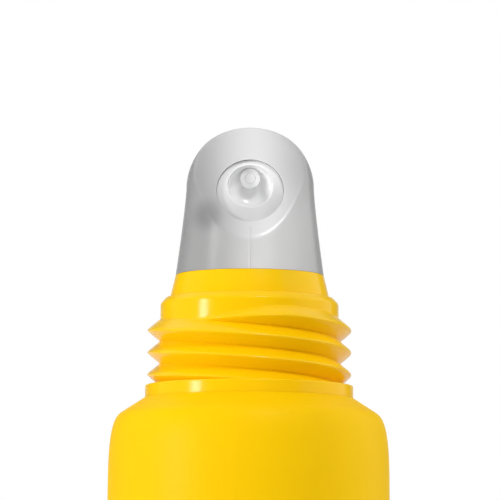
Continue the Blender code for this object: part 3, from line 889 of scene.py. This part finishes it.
under_skin = SLEEVE_WALL + WELD_GAP
flange_inset = under_skin + FLANGE_WALL
skirt_radius = TUBE_RADIUS - under_skin
flange = shoulder_outline(under_skin, FLANGE_ROWS)
outline = softened([
    (skirt_radius, SKIRT_FOOT),
    *[spot for spot in flange if spot[1] > SKIRT_FOOT],
    (RING_RADIUS, slope_height(RING_RADIUS, under_skin)),
    (RING_RADIUS, RING_TOP, RING_SOFTNESS),
    (NECK_RADIUS, RING_TOP),
    (NECK_RADIUS, NECK_TOP - CHAMFER_HEIGHT, CHAMFER_SOFTNESS),
    (NECK_RADIUS - CHAMFER_WIDTH, NECK_TOP, LEDGE_SOFTNESS),
    (COLLAR_FOOT_RADIUS, NECK_TOP),
    (COLLAR_TOP_RADIUS, TIP_FOOT, MOUTH_SOFTNESS),
    (BORE_RADIUS, TIP_FOOT),
    (BORE_RADIUS, BEAD_MIDDLE + HALF_BEAD + PLUG_CLEARANCE),
    (BORE_RADIUS + BEAD_PROUD + PLUG_CLEARANCE, BEAD_MIDDLE),
    (BORE_RADIUS, BEAD_MIDDLE - HALF_BEAD - PLUG_CLEARANCE),
    (BORE_RADIUS, slope_height(BORE_RADIUS, flange_inset)),
    shoulder_outline(flange_inset)[-1],
    (skirt_radius - SKIRT_WALL, SKIRT_FOOT),
])
print("points of the head's outline:", len(outline))

# %% A wall whose rows wind down
THREAD_LEAD = 3.0 * MM
THREAD_STARTS = 2
THREAD_TOP = SLEEVE_HEIGHT + 5.83 * MM
THREAD_START_TURN = math.radians(212)
ROWS_A_TURN = 64
SNAP_SHARE = 1 / 3


def wound_wall(body, foot, head):
    """Joins two level rings by a wall whose rows wind down with the thread.

    A point that would lie closer to a ring than a share of a row becomes the ring's own.
    """
    low, high, sides = foot[0].co.z, head[0].co.z, len(foot)
    row_height = THREAD_LEAD / ROWS_A_TURN
    snap = row_height * SNAP_SHARE
    first = THREAD_TOP + THREAD_LEAD * THREAD_START_TURN / FULL_TURN
    grid = {}

    def corner(side, row):
        row += ROWS_A_TURN * (side // sides)
        side %= sides
        turn = FULL_TURN * (side + FIRST_CORNER_SHARE) / sides
        height = first - THREAD_LEAD * turn / FULL_TURN - row * row_height
        if height > high - snap:
            return head[side]
        if height < low + snap:
            return foot[side]
        if (side, row) not in grid:
            ring = foot[side].co
            grid[side, row] = body.verts.new((ring.x, ring.y, height))
        return grid[side, row]

    top_row = int((first - THREAD_LEAD - high) / row_height) - 1
    bottom_row = int((first - low) / row_height) + 2
    for side in range(sides):
        for row in range(top_row, bottom_row):
            corners = corner(side, row), corner(side, row + 1)
            corners += corner(side + 1, row + 1), corner(side + 1, row)
            corners = list(dict.fromkeys(corners))
            if len(corners) > 2:
                body.faces.new(corners)


print("rows in one turn of the thread:", ROWS_A_TURN)

# %% The head before it has its thread
HEAD_SIDES = 240

# The outline's longest rise is the neck's wall. The turned rows leave it open.
rises = [after[1] - before[1] for before, after in zip(outline, outline[1:])]
wall = rises.index(max(rises))
outline = outline[wall + 1 :] + outline[: wall + 1]
body = bmesh.new()
rows = [[body.verts.new(p) for p in circle(r, z, HEAD_SIDES)] for r, z in outline]
for low, high in zip(rows, rows[1:]):
    for side in range(HEAD_SIDES):
        after = (side + 1) % HEAD_SIDES
        body.faces.new([low[side], low[after], high[after], high[side]])
wound_wall(body, rows[-1], rows[0])
bmesh.ops.recalc_face_normals(body, faces=body.faces[:])
head_blank = as_mesh("head_blank", body)
print("faces before the thread:", len(head_blank.polygons))

# %% [markdown]
# ## Thread by a rule
#
# A Geometry Nodes tree pushes the neck's wall outwards. For each point it works out
# how far down the thread the point lies, counted in ridges. The two nearest ridges
# each have a height there: a rounded crest with straight flanks. A ridge grows out of
# the neck over its first quarter turn, so its height depends on how far it has run. Its
# lower flank stays where it is meanwhile, and so the low crest starts further down.
# The neck takes the largest of those heights and its own radius.

# %% Thread
SAME = 0.001 * MM
NECK_NUMBERS = {
    "Neck Radius": (NUMBER, NECK_RADIUS),
    "Crest Radius": (NUMBER, 6.9 * MM),
    "Hidden Radius": (NUMBER, 5.83 * MM),
    "Crest Rounding": (NUMBER, 0.07 * MM),
    "Flank Slope": (NUMBER, 1.22),
    "Lead": (NUMBER, THREAD_LEAD),
    "Starts": (NUMBER, float(THREAD_STARTS)),
    "Top": (NUMBER, THREAD_TOP),
    "Start Turn": (NUMBER, THREAD_START_TURN),
    "Fade Turn": (NUMBER, math.radians(92)),
}
tree, blank, given = geometry_tree("screw_thread", NECK_NUMBERS)
place = tree.add("GeometryNodeInputPosition")
x, y, z = tree.parts(place)
radius = (x * x + y * y) ** 0.5
turn = (y.math("ARCTAN2", x) - given["Start Turn"]).math("WRAP", FULL_TURN, 0.0)
pitch = given["Lead"] / given["Starts"]
ridges_down = (given["Top"] - z - given["Lead"] * turn / FULL_TURN) / pitch
above_it = ridges_down.math("FLOOR")
rounding = given["Crest Rounding"]
reach = given["Neck Radius"]
for ridge in (above_it, above_it + 1):
    run = turn + ridge * FULL_TURN / given["Starts"]
    share = run.between(0.0, given["Fade Turn"])
    crest = given["Hidden Radius"] + (given["Crest Radius"] - given["Hidden Radius"]) * share
    sunk = (given["Crest Radius"] - crest) / given["Flank Slope"]
    away = (ridges_down - ridge) * pitch - sunk
    fall = ((away * away + rounding * rounding) ** 0.5 - rounding) * given["Flank Slope"]
    reach = reach.math("MAXIMUM", crest - fall)
on_neck = abs(radius - given["Neck Radius"]).math("LESS_THAN", SAME)
stretch = (reach / radius - 1) * on_neck
outwards = tree.add("ShaderNodeCombineXYZ", None, {"X": x * stretch, "Y": y * stretch})
moved = tree.add("GeometryNodeSetPosition", None, {"Geometry": blank, "Offset": outwards})
head_mesh = grown("screw_thread", head_blank, tree, moved, NECK_NUMBERS, head_look)
finished("screw_head", head_mesh, head_look, "tube_head")
spread = max(math.hypot(v.co.x, v.co.y) for v in head_mesh.vertices if v.co.z > RING_TOP + MM)
print("thread diameter in mm:", round(2 * spread / MM, 2))

# %% [markdown]
# ## Soft tip
#
# The tip's outside is a flared flank and half a ball, cut by a slanted plane. A
# Boolean would cut it with a knife's edge, but soft plastic has none. So every point
# is pushed out along its ray until it meets the ball or the plane, whichever comes
# first, and the change from one to the other is eased, which leaves the rounded lower
# edge that catches the light. The inside is a hollow for the balm, and a well for the
# nozzle is cut through the slanted face.

# %% Shapes that tip and nozzle share
FLANK_HEIGHT = 5.88 * MM
DOME_CENTRE = TIP_FOOT + FLANK_HEIGHT
SLANT_ANGLE = math.radians(31.1)
SLANT_NORMAL = Vector((0, -math.cos(SLANT_ANGLE), math.sin(SLANT_ANGLE)))
SLANT_CROSSING = 4.1 * MM
SLANT_POINT = Vector((0, 0, DOME_CENTRE + SLANT_CROSSING))
WELL_RADIUS = 2.26 * MM
WELL_AXIS = DOME_CENTRE - 0.37 * MM
WELL_SEAT = 0.3 * MM
CLEAR_OF_TIP = -6.0 * MM
DRILL_SIDES = 128


def drill(outline, height):
    """A turned cutter lying along Y, from (radius, y) points."""
    rings = []
    for radius, along in outline:
        ring = circle(radius, 0, DRILL_SIDES)
        rings.append([Vector((point.x, along, height - point.y)) for point in ring])
    return skin("drill", rings)


def carved(mesh, changes):
    """The mesh after cuts (DIFFERENCE) and joins (UNION) with other meshes."""
    carrier = bpy.data.objects.new("carved", mesh)
    collection.objects.link(carrier)
    tools = []
    for operation, other in changes:
        tool = bpy.data.objects.new("tool", other)
        collection.objects.link(tool)
        modifier = carrier.modifiers.new("carve", "BOOLEAN")
        modifier.operation, modifier.solver, modifier.object = operation, "EXACT", tool
        tools.append(tool)
    return plain_mesh(carrier, *tools)


print("the slanted plane crosses the axis at mm:", round(SLANT_POINT.z / MM, 2))

# %% Outside of the tip
DOME_RADIUS = 4.33 * MM
FLANK_POWER = 1.22
SLANT_EDGE_LOW = 0.14 * MM
SLANT_EDGE_TOP = 0.9 * MM
TIP_SIDES = 192
FLANK_ROWS = 96
DOME_ROWS = 72


def eased_least(a, b, easing):
    """The smaller of two lengths, eased where they are nearly equal."""
    near = max(easing - abs(a - b), 0) / easing
    return min(a, b) - near**2 * easing / 4


def tip_point(origin, direction, radius):
    """Out along a ray to the round body or to the slanted face."""
    towards = SLANT_NORMAL.dot(direction)
    reach = SLANT_NORMAL.dot(SLANT_POINT - origin) / towards if towards > 0 else math.inf
    easing = SLANT_EDGE_LOW + (SLANT_EDGE_TOP - SLANT_EDGE_LOW) * max(direction.z, 0) ** 2
    return origin + direction * eased_least(radius, reach, easing)


def tip_ring(height, elevation, radius):
    """A ring of such points round the axis, whose rays rise by the elevation."""
    level, up = math.cos(elevation), math.sin(elevation)
    ways = [Vector((level * math.cos(t), level * math.sin(t), up)) for t in turns(TIP_SIDES)]
    return [tip_point(Vector((0, 0, height)), way, radius) for way in ways]


outer = []
for row in range(FLANK_ROWS):
    share = row / FLANK_ROWS
    radius = DOME_RADIUS + (COLLAR_TOP_RADIUS - DOME_RADIUS) * (1 - share) ** FLANK_POWER
    outer.append(tip_ring(TIP_FOOT + FLANK_HEIGHT * share, 0, radius))
for row in range(DOME_ROWS):
    outer.append(tip_ring(DOME_CENTRE, QUARTER_TURN * row / DOME_ROWS, DOME_RADIUS))
outer.append([tip_point(Vector((0, 0, DOME_CENTRE)), Vector((0, 0, 1)), DOME_RADIUS)])
print("top of the tip in mm:", round(outer[-1][0].z / MM, 2))

# %% Tip with its plug, its hollow and its well
PLUG_RADIUS = BORE_RADIUS - PLUG_CLEARANCE
PLUG_FOOT = TIP_FOOT - 5.6 * MM
PLUG_CHAMFER = 0.3 * MM
PLUG_BORE_RADIUS = 3.1 * MM
CHANNEL_RADIUS = 1.7 * MM
CHANNEL_FOOT = TIP_FOOT + 1.2 * MM
CHANNEL_TOP = WELL_AXIS + 1.65 * MM
CHANNEL_CORNER = CHANNEL_RADIUS * 0.4

inner = [
    (0, CHANNEL_TOP),
    (CHANNEL_RADIUS - CHANNEL_CORNER, CHANNEL_TOP),
    (CHANNEL_RADIUS, CHANNEL_TOP - CHANNEL_CORNER),
    (CHANNEL_RADIUS, CHANNEL_FOOT),
    (PLUG_BORE_RADIUS, TIP_FOOT),
    (PLUG_BORE_RADIUS, PLUG_FOOT),
    (PLUG_RADIUS - PLUG_CHAMFER, PLUG_FOOT),
    (PLUG_RADIUS, PLUG_FOOT + PLUG_CHAMFER),
    (PLUG_RADIUS, BEAD_MIDDLE - HALF_BEAD),
    (PLUG_RADIUS + BEAD_PROUD, BEAD_MIDDLE),
    (PLUG_RADIUS, BEAD_MIDDLE + HALF_BEAD),
    (PLUG_RADIUS, TIP_FOOT),
]
rings = [circle(r, z, TIP_SIDES) for r, z in inner] + outer
well = [(0, CLEAR_OF_TIP), (WELL_RADIUS, CLEAR_OF_TIP), (WELL_RADIUS, WELL_SEAT), (0, WELL_SEAT)]
tip_mesh = carved(skin("tip_blank", rings), [("DIFFERENCE", drill(well, WELL_AXIS))])
finished("soft_tip", tip_mesh, tip_look, "applicator_tip")

# %% [markdown]
# ## Nozzle
#
# The nozzle is a short plug in the well. A slanted cut leaves its rim just under the
# face around it. A bowl with a rounded bottom is sunk into it, and a small spout with
# the outlet rises from the bowl. All of them are plain turned forms with crisp edges,
# and for these Booleans are the shortest way. The end of the spout is slightly rounded.

# %% Cutting block and rounded ends
NOZZLE_RECESS = 0.25 * MM
BLOCK_SIZE = 20 * MM
CORNER_STEPS = 12


def slanted_block():
    """A block in front of the slanted face, with its back moved into the tip."""
    body = bmesh.new()
    bmesh.ops.create_cube(body, size=BLOCK_SIZE)
    turn = Vector((0, -1, 0)).rotation_difference(SLANT_NORMAL).to_matrix().to_4x4()
    middle = SLANT_POINT + SLANT_NORMAL * (BLOCK_SIZE / 2 - NOZZLE_RECESS)
    bmesh.ops.transform(body, matrix=Matrix.Translation(middle) @ turn, verts=body.verts)
    return as_mesh("slanted_block", body)


def rounded_end(radius, end, corner, outwards):
    """The (radius, y) points of a rounded corner at the end of a bar or a hole."""
    spots = []
    for step in range(CORNER_STEPS + 1):
        t = QUARTER_TURN * step / CORNER_STEPS
        y = end + outwards * corner * (1 - math.sin(t))
        spots.append((radius - corner * (1 - math.cos(t)), y))
    return spots


print("the rim lies this far under the slanted face, in mm:", round(NOZZLE_RECESS / MM, 2))

# %% Nozzle
NOZZLE_RADIUS = WELL_RADIUS - 0.02 * MM
BOWL_RADIUS = 1.55 * MM
BOWL_AXIS = WELL_AXIS + 0.35 * MM
BOWL_FLOOR = WELL_SEAT - 0.6 * MM
BOWL_CORNER = 1.1 * MM
SPOUT_RADIUS = 0.68 * MM
SPOUT_AXIS = WELL_AXIS + 1.02 * MM
SPOUT_ROOT = BOWL_FLOOR + 0.3 * MM
SPOUT_END = BOWL_FLOOR - 0.6 * MM
SPOUT_ROUNDING = 0.06 * MM
OUTLET_RADIUS = 0.36 * MM
OUTLET_BACK = 1.0 * MM

blank = [(0, CLEAR_OF_TIP), (NOZZLE_RADIUS, CLEAR_OF_TIP)]
blank += [(NOZZLE_RADIUS, WELL_SEAT), (0, WELL_SEAT)]
bowl = [(0, CLEAR_OF_TIP), (BOWL_RADIUS, CLEAR_OF_TIP)]
bowl += rounded_end(BOWL_RADIUS, BOWL_FLOOR, BOWL_CORNER, -1) + [(0, BOWL_FLOOR)]
spout = [(0, SPOUT_ROOT), (SPOUT_RADIUS, SPOUT_ROOT)]
spout += rounded_end(SPOUT_RADIUS, SPOUT_END, SPOUT_ROUNDING, 1) + [(0, SPOUT_END)]
outlet = [(0, CLEAR_OF_TIP), (OUTLET_RADIUS, CLEAR_OF_TIP)]
outlet += [(OUTLET_RADIUS, OUTLET_BACK), (0, OUTLET_BACK)]
changes = [("DIFFERENCE", slanted_block()), ("DIFFERENCE", drill(bowl, BOWL_AXIS))]
changes += [("UNION", drill(spout, SPOUT_AXIS)), ("DIFFERENCE", drill(outlet, SPOUT_AXIS))]
nozzle_mesh = carved(drill(blank, WELL_AXIS), changes)
finished("nozzle", nozzle_mesh, nozzle_look, "nozzle_insert")

# %% [markdown]
# ## Sizes
#
# Finer facets may move the boxes of the dressed pieces from those of the plain solids
# by a few hundredths of a millimetre. Each piece was tied to its body, and the solid
# that it stands for hidden, as it was finished.
